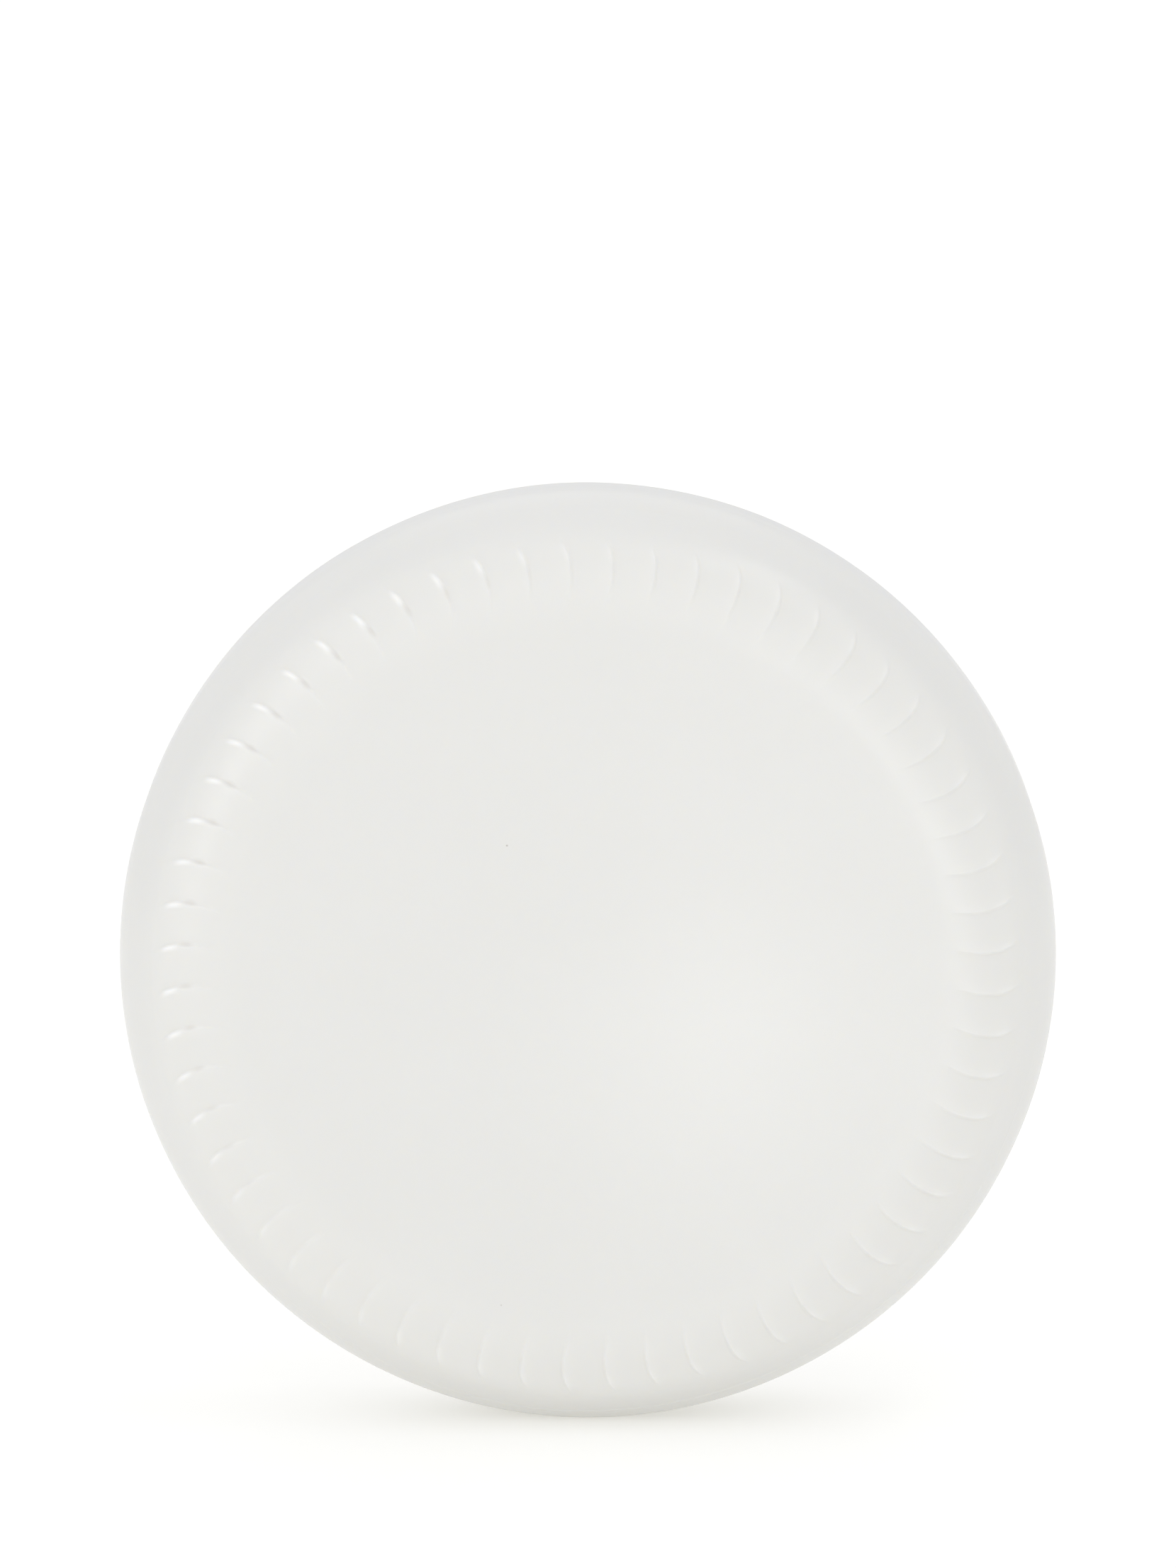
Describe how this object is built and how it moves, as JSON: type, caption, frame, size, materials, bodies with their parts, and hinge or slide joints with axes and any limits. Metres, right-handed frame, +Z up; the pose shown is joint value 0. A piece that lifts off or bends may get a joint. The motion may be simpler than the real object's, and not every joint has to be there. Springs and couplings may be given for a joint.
{
  "type": "shaving soap puck",
  "caption": "Round white bar of hard shaving soap with broad rounded shoulders and a ring of small raised crescents round its front face.",
  "frame": {"origin": "on the floor under the puck's centre, with the puck standing on its edge on a hair-thin pressed flat", "axes": "+Z up; the puck's axis is along Y; -Y is the front face with the crescents, +Y the back face"},
  "size_m": [0.07, 0.023, 0.0699],
  "materials": {
    "soap": "smooth moulded hard soap with a soft sheen, slightly translucent"
  },
  "bodies": {
    "root": {"soap_puck": "soap"}
  },
  "joints": []
}
